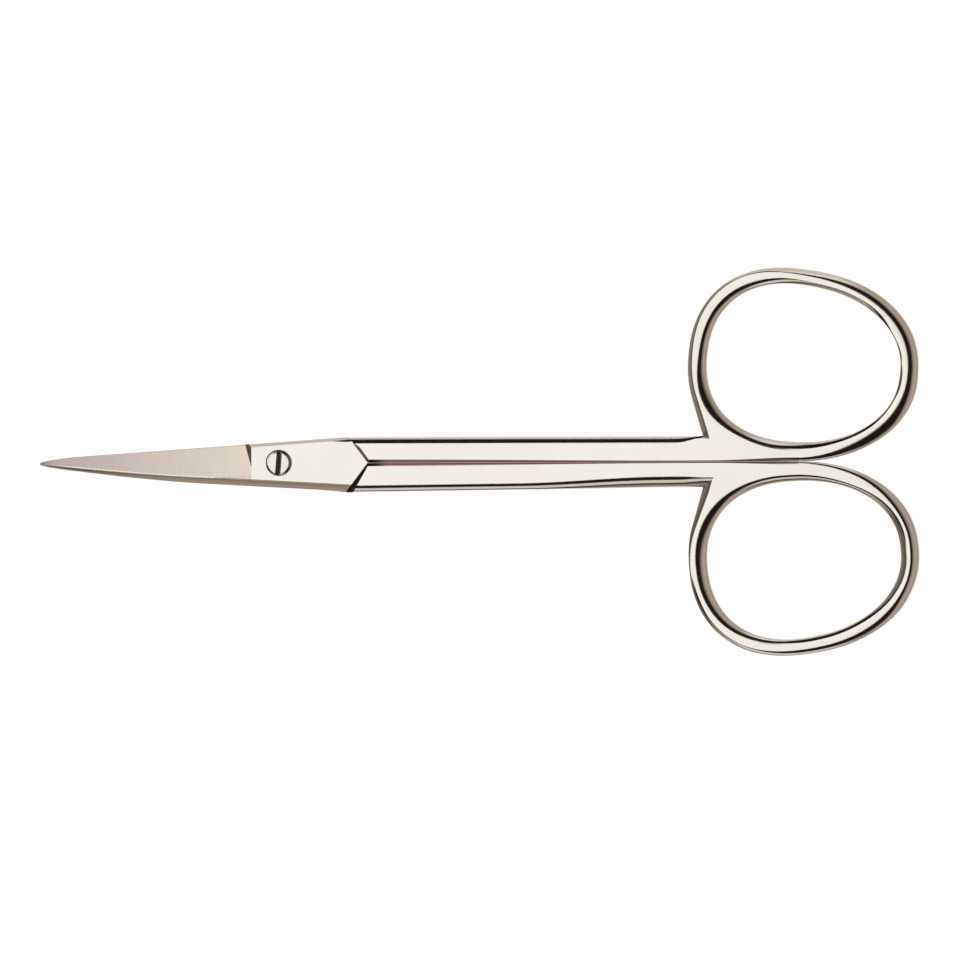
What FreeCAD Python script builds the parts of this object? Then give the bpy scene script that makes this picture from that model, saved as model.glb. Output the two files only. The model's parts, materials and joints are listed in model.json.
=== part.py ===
import FreeCAD, Part
import math
import os

# Cuticle scissors, closed, lying flat. Millimetres and degrees.
# X runs from the blade tips to the finger bows, Y across the tool, Z up through the pivot.
# The origin is under the middle of the tool. The shanks close on the line y = 0.

# Overall
overall_length = 90.0
stock_thickness = 3.0
blade_reach = 24.45

# Clearances
lap_gap = 0.03
closing_gap = 0.06
journal_clearance = 0.03
head_clearance = 0.10
seat_clearance = 0.02
thread_clearance = 0.02

# Joint plates
plate_drop = 0.13
plate_end_reach = 9.11
plate_end_angle = 53.0
shoulder_gap = 0.19
shoulder_angle = 62.2
plate_edge_round = 0.30

# Blades, shared by both halves
edge_tip_width = 0.37
edge_nose = 4.0
edge_bevel_angle = 60.0
tip_blunt = 0.04
tip_height = 0.40
grind_angle = 12.0
grind_drop = 0.03
ricasso_distance = 2.95
ricasso_wall_angle = 57.0
spine_bevel_angle = 45.0
spine_wall_tip = 0.15
spine_wall_root = 0.60

# Spine outlines: the upper blade is bellied, the lower one hides under it
upper_spine_tip_width = 1.13
upper_spine_root_width = 2.94
upper_spine_nose = 19.0
lower_spine_tip_width = 0.45
lower_spine_root_width = 2.75
lower_spine_nose = 4.5

# Shanks and bows: rounded edges draw in by their own width over one common depth
edge_depth = 1.00
edge_turn = 66.0
closing_round = 0.28
upper_shank_root_width = 2.62
upper_shank_bow_width = 2.62
upper_shank_round = 0.75
lower_shank_root_width = 3.00
lower_shank_bow_width = 2.64
lower_shank_round = 1.00

# Finger bows
bow_hole_length = 19.64
bow_hole_width = 15.88
bow_hole_tilt = -6.9
bow_hole_rise = 0.11
bow_wire_end = 2.05
bow_wire_side = 1.90
bow_outer_tilt = -4.4
bow_crown = 0.20
bow_squareness = 2.24
bow_egg = 0.087

# Pivot screw
head_diameter = 2.66
head_height = 0.60
head_chamfer = 0.08
slot_width = 0.40
slot_depth = 0.30
slot_angle = 85.5
journal_diameter = 2.00
thread_diameter = 1.80

# Modelling resolution
nose_sections = 15
round_levels = 7
oval_points = 36
oval_samples = 720
bisection_steps = 50
join_tolerance = 0.0001

# Sizes that follow
half_thickness = stock_thickness / 2
plate_base = half_thickness + lap_gap / 2
plate_top = stock_thickness - plate_drop
tip_x = -overall_length / 2
sharp_x = tip_x - tip_blunt
pivot_x = tip_x + blade_reach
ricasso_x = pivot_x - ricasso_distance
ricasso_run = (plate_top - plate_base) / math.tan(math.radians(ricasso_wall_angle))
ricasso_foot_x = ricasso_x - ricasso_run
blade_end_x = ricasso_x + plate_edge_round
plate_end_x = pivot_x + plate_end_reach
shoulder_x = plate_end_x + shoulder_gap
closing_y = closing_gap / 2
bow_half_length = bow_hole_length / 2 + bow_wire_end
bow_half_width = bow_hole_width / 2 + bow_wire_side
bow_round = (min(bow_wire_end, bow_wire_side - bow_hole_rise) - bow_crown) / 2
grind_slope = math.tan(math.radians(grind_angle))
edge_slope = math.tan(math.radians(edge_bevel_angle))
spine_slope = math.tan(math.radians(spine_bevel_angle))
reach_past = 2 * stock_thickness


def point(x, y, z=0.0):
    return FreeCAD.Vector(x, y, z)


def wire_of(points):
    return Part.makePolygon(points + [points[0]])


def prism(points, along):
    """Solid swept by a flat polygon along a vector."""
    return Part.Face(wire_of(points)).extrude(along)


def line_through(start, end, x):
    """Height at x of the straight line through two (x, height) pairs."""
    return start[1] + (end[1] - start[1]) * (x - start[0]) / (end[0] - start[0])


def nose(distance, length):
    """Share of the full width at a distance behind the tip, an elliptic nose."""
    if distance >= length:
        return 1.0
    return math.sqrt(1 - (1 - distance / length) ** 2)


def oval_point(turn, half_length, half_width, tilt, centre, z=0.0):
    """Point of a squarish egg-shaped oval, narrower at the end away from the blades."""
    cosine = math.cos(turn)
    sine = math.sin(turn)
    power = 2 / bow_squareness
    along = math.copysign(abs(cosine) ** power, cosine)
    across = math.copysign(abs(sine) ** power, sine) * half_width * (1 - bow_egg * along)
    along *= half_length
    lean = math.radians(tilt)
    x = centre[0] + along * math.cos(lean) - across * math.sin(lean)
    y = centre[1] + along * math.sin(lean) + across * math.cos(lean)
    return point(x, y, z)


def bow_placement():
    """Centre of a bow that ends the tool and touches the closing line, and its lowest turn."""
    turns = [2 * math.pi * i / oval_samples for i in range(oval_samples)]
    loop = [oval_point(t, bow_half_length, bow_half_width, bow_outer_tilt, (0, 0)) for t in turns]
    lowest = min(range(oval_samples), key=lambda i: loop[i].y)
    centre_x = overall_length / 2 - max(p.x for p in loop)
    centre_y = closing_y - loop[lowest].y
    return (centre_x, centre_y), turns[lowest]


bow_centre, bow_low_turn = bow_placement()
hole_centre = (bow_centre[0], bow_centre[1] + bow_hole_rise)


class Half:
    """Widths of one half along its length, measured from the closing line."""

    def __init__(self, spine_tip, spine_root, spine_nose, shank_root, shank_bow, shank_round):
        self.spine_nose = spine_nose
        self.shank_round = shank_round
        self.shank_root_y = closing_y + shank_root
        self.shank_bow_y = closing_y + shank_bow
        self.root_x = plate_end_x - self.shank_root_y / math.tan(math.radians(shoulder_angle))
        self.edge_line = ((sharp_x, edge_tip_width), (self.root_x, self.shank_root_y))
        self.spine_line = ((sharp_x, spine_tip), (self.root_x, spine_root))
        self.wall_line = ((sharp_x, spine_wall_tip), (self.root_x, spine_wall_root))
        spine_y = self.spine_y(ricasso_x)
        bevel = (plate_top - grind_drop - self.wall_top(ricasso_x)) / spine_slope
        ricasso_height = plate_top - grind_drop - grind_slope * (spine_y - bevel)
        self.face_line = ((sharp_x, plate_base + tip_height), (ricasso_x, ricasso_height))

    def edge_y(self, x):
        return line_through(*self.edge_line, x) * nose(x - sharp_x, edge_nose)

    def spine_y(self, x):
        return line_through(*self.spine_line, x) * nose(x - sharp_x, self.spine_nose)

    def wall_top(self, x):
        return plate_base + line_through(*self.wall_line, x) * nose(x - sharp_x, edge_nose)

    def blade_section(self, x):
        """Ground blade at x: vertical spine wall, spine bevel, sloping face, edge bevel, flat inner face."""
        edge = self.edge_y(x)
        spine = self.spine_y(x)
        wall = self.wall_top(x)
        face = plate_base + (line_through(*self.face_line, x) - plate_base) * nose(x - sharp_x, edge_nose)
        spine_bevel = (face + grind_slope * spine - wall) / (spine_slope + grind_slope)
        edge_bevel = (face - grind_slope * edge - plate_base) / (edge_slope - grind_slope)
        return wire_of([
            point(x, -spine, plate_base),
            point(x, -spine, wall),
            point(x, spine_bevel - spine, wall + spine_bevel * spine_slope),
            point(x, edge - edge_bevel, plate_base + edge_bevel * edge_slope),
            point(x, edge, plate_base),
        ])

    def plate_section(self, x):
        """Joint plate at x: the blade's spine carried on, a flat face and a rounded edge side."""
        edge = self.edge_y(x)
        spine = self.spine_y(x)
        wall = self.wall_top(x)
        bevel = (plate_top - wall) / spine_slope
        bend = plate_edge_round * (1 - math.sqrt(0.5))
        low = point(x, edge, plate_base)
        side = point(x, edge, plate_top - plate_edge_round)
        middle = point(x, edge - bend, plate_top - bend)
        over = point(x, edge - plate_edge_round, plate_top)
        crest = point(x, bevel - spine, plate_top)
        shelf = point(x, -spine, wall)
        foot = point(x, -spine, plate_base)
        return Part.Wire([
            Part.LineSegment(low, side).toShape(),
            Part.Arc(side, middle, over).toShape(),
            Part.LineSegment(over, crest).toShape(),
            Part.LineSegment(crest, shelf).toShape(),
            Part.LineSegment(shelf, foot).toShape(),
            Part.LineSegment(foot, low).toShape(),
        ])


def make_blade(half):
    """Ground blade from the tip into the joint plate, with close sections on the curve of its nose."""
    nose_end = min(sharp_x + max(edge_nose, half.spine_nose), ricasso_foot_x)
    shares = [i / (nose_sections - 1) for i in range(nose_sections)]
    stations = [tip_x + (nose_end - tip_x) * share ** 2 for share in shares]
    stations += [x for x in (ricasso_foot_x, blade_end_x) if x > nose_end]
    return Part.makeLoft([half.blade_section(x) for x in stations], True, True)


def make_plate(half):
    """Joint plate between the ricasso wall and the chevron end, on top of the lap."""
    stations = (ricasso_foot_x, blade_end_x, half.root_x)
    plate = Part.makeLoft([half.plate_section(x) for x in stations], True, True)
    middle_y = (closing_y + half.shank_root_y) / 2
    crests = []
    for x in (half.root_x, plate_end_x + shoulder_gap):
        spine = half.spine_y(x)
        wall = half.wall_top(x)
        crests.append(wire_of([
            point(x, -spine, plate_base),
            point(x, -spine, wall),
            point(x, (plate_top - wall) / spine_slope - spine, plate_top),
            point(x, middle_y, plate_top),
            point(x, middle_y, plate_base),
        ]))
    plate = plate.fuse(Part.makeLoft(crests, True, True))
    slope = math.tan(math.radians(plate_end_angle))
    below = -reach_past
    arm = prism([
        point(plate_end_x + closing_y / slope, closing_y, 0),
        point(plate_end_x + below / slope, below, 0),
        point(plate_end_x + reach_past, below, 0),
        point(plate_end_x + reach_past, closing_y, 0),
    ], point(0, 0, stock_thickness))
    wall = prism([
        point(ricasso_foot_x - reach_past, -reach_past, plate_base),
        point(ricasso_foot_x, -reach_past, plate_base),
        point(ricasso_foot_x, reach_past, plate_base),
        point(ricasso_foot_x - reach_past, reach_past, plate_base),
    ], point(2 * ricasso_run, 0, 2 * (plate_top - plate_base)))
    return plate.cut(arm).cut(wall)


def handle_outline(half, share, z):
    """Outer outline of shank and bow at height z, drawn in by a share of each edge's rounding."""
    drawn = share * bow_round
    closing = closing_y + share * closing_round
    outer = share * half.shank_round

    def bow(turn):
        return oval_point(turn, bow_half_length - drawn, bow_half_width - drawn, bow_outer_tilt, bow_centre, z)

    low_turn = math.pi
    high_turn = bow_low_turn
    for _ in range(bisection_steps):
        corner_turn = (low_turn + high_turn) / 2
        if bow(corner_turn).y > half.shank_bow_y - outer:
            low_turn = corner_turn
        else:
            high_turn = corner_turn
    sweep = corner_turn + 2 * math.pi - bow_low_turn
    arc = Part.BSplineCurve()
    arc.interpolate([bow(bow_low_turn + sweep * i / oval_points) for i in range(oval_points + 1)])
    corner = arc.EndPoint
    fork = point(corner.x, closing, z)
    root = point(half.root_x, closing, z)
    shoulder = point(half.root_x, half.shank_root_y - outer, z)
    return Part.Wire([
        Part.LineSegment(root, fork).toShape(),
        Part.LineSegment(fork, arc.StartPoint).toShape(),
        arc.toShape(),
        Part.LineSegment(corner, shoulder).toShape(),
        Part.LineSegment(shoulder, root).toShape(),
    ])


def hole_outline(share, z):
    """Finger hole at height z, opened by a share of its rounding."""
    drawn = share * bow_round
    turns = [2 * math.pi * (i + 0.5) / oval_points for i in range(oval_points)]
    long = bow_hole_length / 2 + drawn
    wide = bow_hole_width / 2 + drawn
    loop = Part.BSplineCurve()
    loop.interpolate([oval_point(t, long, wide, bow_hole_tilt, hole_centre, z) for t in turns], PeriodicFlag=True)
    return Part.Wire([loop.toShape()])


def rounded_slab(outline):
    """Full thickness of stock inside an outline, with its edges rounded on both faces."""
    last = math.radians(edge_turn)
    wires = []
    for i in range(round_levels):
        turn = last * i / (round_levels - 1)
        share = (1 - math.cos(turn)) / (1 - math.cos(last))
        rise = math.sin(turn) / math.sin(last)
        wires.append(outline(share, stock_thickness - edge_depth * (1 - rise)))
    top = Part.makeLoft(wires, True, False)
    bottom = top.mirror(point(0, 0, half_thickness), point(0, 0, 1))
    wall = Part.Face(outline(0, edge_depth)).extrude(point(0, 0, stock_thickness - 2 * edge_depth))
    return wall.fuse([top, bottom])


def make_handle(half):
    """Shank and finger bow, full stock thickness, stepped at the joint."""
    handle = rounded_slab(lambda share, z: handle_outline(half, share, z))
    handle = handle.cut(rounded_slab(hole_outline))
    slope = math.tan(math.radians(shoulder_angle))
    step = plate_top - stock_thickness
    shoulder = prism([
        point(shoulder_x + reach_past / slope, -reach_past, -reach_past),
        point(shoulder_x - reach_past / slope, reach_past, -reach_past),
        point(shoulder_x - 3 * reach_past, reach_past, -reach_past),
        point(shoulder_x - 3 * reach_past, -reach_past, -reach_past),
    ], point(0, 0, reach_past + plate_base))
    crease = prism([
        point(plate_end_x + reach_past / slope, -reach_past, plate_top),
        point(plate_end_x - reach_past / slope, reach_past, plate_top),
        point(plate_end_x - 3 * reach_past, reach_past, plate_top),
        point(plate_end_x - 3 * reach_past, -reach_past, plate_top),
    ], point(-2 * step, 0, -2 * step))
    return handle.cut(shoulder).cut(crease)


def make_half(half):
    """One forging, lying as the upper half."""
    solid = make_handle(half).fuse([make_plate(half), make_blade(half)], join_tolerance)
    return solid.removeSplitter()


def bore(diameter, low, high):
    return Part.makeCylinder(diameter / 2, high - low, point(pivot_x, 0, low))


def make_upper_half():
    half = Half(
        upper_spine_tip_width, upper_spine_root_width, upper_spine_nose,
        upper_shank_root_width, upper_shank_bow_width, upper_shank_round,
    )
    solid = make_half(half)
    seat = plate_top - head_height - seat_clearance
    solid = solid.cut(bore(journal_diameter + 2 * journal_clearance, 0, stock_thickness))
    return solid.cut(bore(head_diameter + 2 * head_clearance, seat, stock_thickness))


def make_lower_half():
    half = Half(
        lower_spine_tip_width, lower_spine_root_width, lower_spine_nose,
        lower_shank_root_width, lower_shank_bow_width, lower_shank_round,
    )
    solid = make_half(half)
    solid.rotate(point(0, 0, half_thickness), point(1, 0, 0), 180)
    return solid.cut(bore(thread_diameter + 2 * thread_clearance, 0, stock_thickness))


def make_pivot_screw():
    """Slotted shoulder screw: the journal stands on the lower plate, the head lies flush in the upper one."""
    lower_face = stock_thickness - plate_top
    lower_lap = stock_thickness - plate_base
    seat = plate_top - head_height
    head = bore(head_diameter, seat, plate_top)
    rim = [edge for edge in head.Edges if abs(edge.BoundBox.ZMin - plate_top) < head_chamfer / 2]
    head = head.makeChamfer(head_chamfer, [edge for edge in rim if edge.BoundBox.ZLength < head_chamfer / 2])
    shank = bore(journal_diameter, lower_lap, seat).fuse(bore(thread_diameter, lower_face, lower_lap))
    slot = Part.makeBox(
        2 * head_diameter, slot_width, 2 * slot_depth,
        point(pivot_x - head_diameter, -slot_width / 2, plate_top - slot_depth),
    )
    slot.rotate(point(pivot_x, 0, 0), point(0, 0, 1), slot_angle)
    return head.fuse(shank).cut(slot).removeSplitter()


PARTS = {
    "upper_half": make_upper_half,
    "lower_half": make_lower_half,
    "pivot_screw": make_pivot_screw,
}

os.makedirs("parts", exist_ok=True)
for name, make in PARTS.items():
    shape = make()
    box = shape.BoundBox
    print(name, "solids", len(shape.Solids), "valid", shape.isValid(), "volume", round(shape.Volume, 2),
          "box", [round(v, 3) for v in (box.XMin, box.YMin, box.ZMin, box.XMax, box.YMax, box.ZMax)])
    shape.exportStep(f"parts/{name}.step")
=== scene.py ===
import functools
import json
import math

import bpy
from mathutils import Matrix, Vector
from mathutils.geometry import delaunay_2d_cdt


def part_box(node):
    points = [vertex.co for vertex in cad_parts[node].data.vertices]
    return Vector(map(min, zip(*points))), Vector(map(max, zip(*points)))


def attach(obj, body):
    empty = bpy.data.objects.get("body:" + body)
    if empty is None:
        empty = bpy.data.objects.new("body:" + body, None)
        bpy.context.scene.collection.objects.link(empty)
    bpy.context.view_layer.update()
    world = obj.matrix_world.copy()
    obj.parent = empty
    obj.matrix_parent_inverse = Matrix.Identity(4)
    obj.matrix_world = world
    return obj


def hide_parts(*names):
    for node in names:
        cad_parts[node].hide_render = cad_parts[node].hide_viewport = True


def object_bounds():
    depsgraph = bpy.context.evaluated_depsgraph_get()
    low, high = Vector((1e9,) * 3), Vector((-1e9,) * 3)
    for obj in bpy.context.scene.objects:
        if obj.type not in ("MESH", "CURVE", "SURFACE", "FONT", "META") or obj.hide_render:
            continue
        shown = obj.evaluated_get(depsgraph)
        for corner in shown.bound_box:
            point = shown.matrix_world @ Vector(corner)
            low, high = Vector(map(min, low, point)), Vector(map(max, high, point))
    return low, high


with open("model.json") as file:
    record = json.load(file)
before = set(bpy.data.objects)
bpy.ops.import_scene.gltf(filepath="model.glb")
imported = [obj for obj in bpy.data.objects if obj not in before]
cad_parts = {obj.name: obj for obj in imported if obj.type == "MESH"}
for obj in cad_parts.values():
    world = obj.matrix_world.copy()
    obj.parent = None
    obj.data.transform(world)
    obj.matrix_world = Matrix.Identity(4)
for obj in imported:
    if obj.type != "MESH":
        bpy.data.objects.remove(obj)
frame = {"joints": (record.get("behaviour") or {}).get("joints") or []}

cad_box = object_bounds()

# Lengths are in millimetres and angles in degrees. Finished meshes are scaled to metres.
MM = 0.001

# Read from the frame
TIP_X = cad_box[0][0] / MM
END_X = cad_box[1][0] / MM
THICKNESS = (cad_box[1][2] - cad_box[0][2]) / MM
PIVOT_X = frame["joints"][0]["pos_m"][0] / MM
PLATE_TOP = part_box("pivot_screw")[1][2] / MM

# Lap and closing line
LAP_GAP = 0.03
CLOSING_Y = 0.012
PLATE_BASE = THICKNESS / 2 + LAP_GAP / 2

# Joint plate
PLATE_END_X = PIVOT_X + 9.11
PLATE_END_ANGLE = 53.0
SHOULDER_GAP = 0.22
SHOULDER_ANGLE = 60.5
PLATE_LEAD = 0.2
PLATE_OVERRUN = 0.5
PLATE_FOLD_SHARE = 0.3
PLATE_RIM = (0.36, 41.0, 0.02)
PLATE_ROOT_SHARE = 0.22
PLATE_ROOT_RUN = (2.2, 0.4)
CREASE_ANGLE = 53.5
CREASE_RUN = 0.38
CREASE_OVERLAP = 0.05
CREASE_REACH = 4

# Blade
SHARP_X = TIP_X - 0.04
EDGE_TIP_WIDTH = 0.46
EDGE_NOSE = 4.0
EDGE_BEVEL_ANGLE = 88.0
TIP_HEIGHT = 0.20
GRIND_ANGLE = 16.0
RICASSO_X = PIVOT_X - 2.74
RICASSO_WALL_ANGLE = 49.0
RICASSO_END_Y = 0.47
PLUNGE_RISE = 0.13
PLUNGE_LENGTH = 3.2
SPINE_NOSE_POWER = 0.62
SPINE_BEVEL_TIP_ANGLE = 33.0
SPINE_BEVEL_ANGLE = 38.0
SPINE_BEVEL_RUN = 6.0
SPINE_BEVEL_BULGE = 0.012
SPINE_WALL_TIP = 0.08
SPINE_WALL_ROOT = 0.84
SPINE_WALL_RUN = 4.0
CREST_STRIP = 0.14
STRIP_END = 3.8
JOIN_STEP = 0.003
SHELF_ROUND = 0.06
CREST_ROUND = 0.25
BROW_ROUND = 0.05
CORNER_LIMIT = 0.4
FACE_LOOPS = (0.04, 0.96)

# Finger bow
HOLE_HALF_LENGTH = 9.82
HOLE_HALF_WIDTH = 7.94
HOLE_TILT = -6.9
HOLE_RISE = 0.11
BOW_HALF_LENGTH = 11.87
BOW_HALF_WIDTH = 9.84
BOW_TILT = -4.4
BOW_SQUARENESS = 2.24
BOW_EGG = 0.087
CORNER_X = 22.76
HANDLE_LEAD = 1.6

# Rounded edges of the shanks, as widths drawn in on the face and the stretches over which they change
CLOSING_ROOT_ROUND = 0.36
CLOSING_FORK_ROUND = 0.13
CLOSING_ROLL_ANGLE = 44.0
CLOSING_RIM_RUN = 9.0
SHANK_RIM_SPAN = (4.0, 18.0)
CORNER_RIM_RUN = 2.6
LIP_SHARE = 0.30

# Rounded edges of the bows at every 30 degrees, outside and hole: width, steepest slope, power of its growth
UPPER_RIMS = (
    ((1.3, 44, 1.0), (0.6, 36, 0.55)), ((1.27, 44, 1.0), (0.38, 12, 1.0)),
    ((1.15, 44, 1.0), (0.42, 42, 0.25)), ((0.8, 44, 0.3), (0.42, 43, 0.25)),
    ((0.34, 43, 0.12), (0.82, 30, 1.0)), ((0.32, 44, 0.1), (0.97, 44, 1.0)),
    ((0.44, 44, 0.1), (1.03, 44, 1.0)), ((0.56, 44, 0.18), (1.38, 28, 1.0)),
    ((0.45, 36, 0.8), (0.98, 42, 0.9)), ((0.42, 21, 0.8), (1.06, 44, 0.65)),
    ((1.12, 23, 1.0), (0.72, 44, 1.0)), ((1.34, 30, 1.0), (0.52, 32, 0.6)),
)
LOWER_RIMS = (
    ((1.1, 44, 0.65), (0.74, 44, 0.35)), ((1.08, 44, 0.65), (0.76, 44, 0.35)),
    ((0.87, 31, 1.0), (0.7, 44, 0.8)), ((0.68, 25, 1.0), (0.85, 44, 1.0)),
    ((0.38, 30, 0.35), (0.75, 44, 1.0)), ((0.38, 32, 0.2), (1.12, 44, 1.0)),
    ((0.5, 30, 0.5), (1.39, 44, 1.0)), ((0.62, 44, 0.35), (1.3, 30, 1.0)),
    ((0.4, 40, 0.8), (0.98, 44, 1.0)), ((0.3, 44, 1.0), (0.77, 44, 1.0)),
    ((0.63, 44, 1.0), (0.46, 44, 0.9)), ((1.1, 44, 0.7), (0.62, 44, 0.6)),
)

# Pivot screw
HEAD_RADIUS = 1.26
HEAD_FACE_RADIUS = 1.05
HEAD_HEIGHT = 0.60
HEAD_CLEARANCE = 0.075
SEAT_CLEARANCE = 0.02
HEAD_OFFSET = (0.055, 0.035)
HEAD_CHAMFER = 0.12
HEAD_DOME = 0.03
HEAD_EDGE = (0.03, 0.05)
DOME_SHARES = (0.9, 0.75, 0.5, 0.25, 0.05)
JOURNAL_RADIUS = 1.00
JOURNAL_CLEARANCE = 0.03
THREAD_RADIUS = 0.90
THREAD_CLEARANCE = 0.02
THREAD_CHAMFER = 0.1
SLOT_FLOOR_WIDTH = 0.26
SLOT_RAMP_STEP = 0.10
SLOT_RAMP_ANGLES = (46.0, 35.0, 25.0, 16.0, 8.0)
SLOT_DEPTH = 0.30
SLOT_ANGLE = 85.5
SLOT_SHIFT = 0.01

# Mesh density and the reach of cutters
ROUND_STEPS = 12
LIP_STEPS = 6
MOST_CROWDING = 1.6
CORNER_STEPS = 4
CREST_STEPS = 6
BROW_STEPS = 8
RING_POINTS = 220
NECK_POINTS = 16
SHANK_POINTS = 60
NOSE_STATIONS = 64
BLADE_STATIONS = 24
CIRCLE_POINTS = 96
SMOOTH_ANGLE = 14.5
REACH = 8.0
LONG_REACH = 5 * REACH

# Telling faces apart when they are painted: level share of the normal, its lean along X or Y, and distances
LEVEL_SLOPE = 0.99
STRIP_SLOPE = 0.995
FLAT_SLOPE = 0.999
WALL_SLOPE = 0.05
GRIND_SLACK = 4
RICASSO_LEAN = -0.4
RICASSO_DEPTH = 1.2
SPINE_LEAN = -0.03
CREASE_LEAN = -0.3
FACE_TOLERANCE = 0.004
SLOT_TOLERANCE = 0.01

# Metals, and the painted shade of the joint and closing edges
EVEN = (1, 1, 1)
NOISE_SPAN = (0.3, 0.7)
STAIN_SCALE = 1500.0
SCRATCH_DEPTH = 0.01
ROUGHNESS_SPREAD = 0.08
# Share along the closing edges at which their painted shade passes into plain metal
GROOVE_SHADE_END = 0.94
# Reaches before the plate's end at which the painted shade along the shoulder begins and is full
SHOULDER_SHADE_REACHES = (3.6, 2.6)

# Floor
FLOOR_REACH = 3.0
FLOOR_DROP = 0.02
FLOOR_GLOW = 0.93
FLOOR_GREY = 0.80
SEEN_FLOOR_GREY = 0.30

# Studio walls, as colours by height, and the directions over which one wall passes into the next
RIGHT_WALL = (
    (0.0, (0.30, 0.265, 0.25)), (0.22, (0.36, 0.31, 0.285)), (0.36, (0.42, 0.36, 0.33)),
    (0.485, (0.42, 0.355, 0.325)), (0.60, (0.36, 0.30, 0.275)), (0.70, (0.24, 0.195, 0.175)),
    (0.81, (0.05, 0.04, 0.034)),
)
LEFT_WALL = (
    (0.0, (0.24, 0.225, 0.205)), (0.20, (0.20, 0.18, 0.165)), (0.36, (0.12, 0.10, 0.088)),
    (0.50, (0.09, 0.073, 0.063)), (0.58, (0.15, 0.13, 0.12)), (0.67, (0.38, 0.36, 0.34)),
)
BACK_WALL = (
    (0.0, (0.55, 0.54, 0.53)), (0.22, (0.57, 0.55, 0.53)), (0.36, (0.80, 0.77, 0.73)),
    (1.0, (0.80, 0.77, 0.73)),
)
FRONT_WALL = (
    (0.0, (0.34, 0.265, 0.225)), (0.25, (0.34, 0.265, 0.225)), (0.37, (0.14, 0.11, 0.10)),
    (0.41, (0.04, 0.03, 0.025)), (0.52, (0.04, 0.03, 0.025)), (0.58, (0.68, 0.65, 0.61)),
    (1.0, (0.68, 0.65, 0.61)),
)
LEFT_WALL_SPAN = (-0.5, -0.8)
BACK_WALL_SPAN = (0.84, 0.97)
FRONT_WALL_SPAN = (-0.84, -0.97)
SKIRTING_SPAN = (0.06, 0.01)
SKIRTING_WHITE = (0.92, 0.92, 0.92)
LEAST_DIVISOR = 0.01

# Studio ceiling, as slopes of the view along X and Y, and a blur
CEILING = ((-1.25, 0.727), (-0.727, 3.27), 0.05)
CEILING_SLANT = 0.2
CEILING_BLACK = (0.012, 0.009, 0.007)
SOFTBOX = ((-1.19, 0.12), (-0.176, 0.84), 0.03)
SOFTBOX_WHITE = (1.0, 1.0, 1.0)

# Camera, with the width and middle of the picture at the focus height
SENSOR_WIDTH = 36.0
LENS = 200.0
PICTURE_WIDTH = 98.10
PICTURE_MIDDLE = (0.03, -1.787)
FOCUS_HEIGHT = 2.0
CAMERA_ROLL = -0.2


class Half:
    """Sizes in which the two forgings differ.

    The spine is given as its width at tip and root and the length of its nose, the shank as its width at
    root and bow, and the shank's rims as the roundings at root, bow, corner and neck.
    """

    def __init__(self, side, spine, shank, rims, shank_rims):
        self.side = side
        spine_tip, spine_root, self.spine_nose = spine
        self.shank_root_y = CLOSING_Y + shank[0]
        self.shank_bow_y = CLOSING_Y + shank[1]
        self.rims = rims
        self.root_rim, self.bow_rim, self.corner_rim, self.neck_rim = shank_rims
        self.root_x = PLATE_END_X - self.shank_root_y / math.tan(math.radians(SHOULDER_ANGLE))
        self.edge_line = ((SHARP_X, EDGE_TIP_WIDTH), (self.root_x, self.shank_root_y))
        self.spine_line = ((SHARP_X, spine_tip), (self.root_x, spine_root))


UPPER = Half(side=1, spine=(1.13, 2.94, 17.5), shank=(2.69, 2.66), rims=UPPER_RIMS, shank_rims=(
    (1.22, 44.0, 1.0), (1.22, 44.0, 1.0), (0.40, 44.0, 1.0), (0.62, 44.0, 0.12)))
LOWER = Half(side=-1, spine=(0.36, 2.62, 4.5), shank=(3.00, 2.64), rims=LOWER_RIMS, shank_rims=(
    (0.80, 31.0, 1.0), (1.30, 44.0, 1.0), (1.05, 44.0, 0.45), (0.85, 44.0, 0.25)))


def line_through(start, end, x):
    """Height at x of the straight line through two (x, height) pairs."""
    return start[1] + (end[1] - start[1]) * (x - start[0]) / (end[0] - start[0])


def nose(distance, length, power=0.5):
    """Share of the full width at a distance behind the tip, an elliptic nose at a power of one half."""
    if distance >= length:
        return 1.0
    return (1 - (1 - distance / length) ** 2) ** power


def ease(value, low, high):
    """Smooth share from 0 at low to 1 at high."""
    share = min(max((value - low) / (high - low), 0.0), 1.0)
    return share * share * (3 - 2 * share)


def mix(first, second, share):
    return first + (second - first) * share


def mix_rims(first, second, share):
    return tuple(mix(a, b, share) for a, b in zip(first, second))


def smooth_round(table, place):
    """Smooth curve through the rows of a table that closes on itself, at a place counted in rows."""
    low = math.floor(place)
    share = place - low
    rows = [table[(low + step) % len(table)] for step in (-1, 0, 1, 2)]
    values = []
    for a, b, c, d in zip(*rows):
        bend = 2 * a - 5 * b + 4 * c - d + (3 * b - a - 3 * c + d) * share
        values.append(b + 0.5 * share * (c - a + share * bend))
    return tuple(values)


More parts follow.
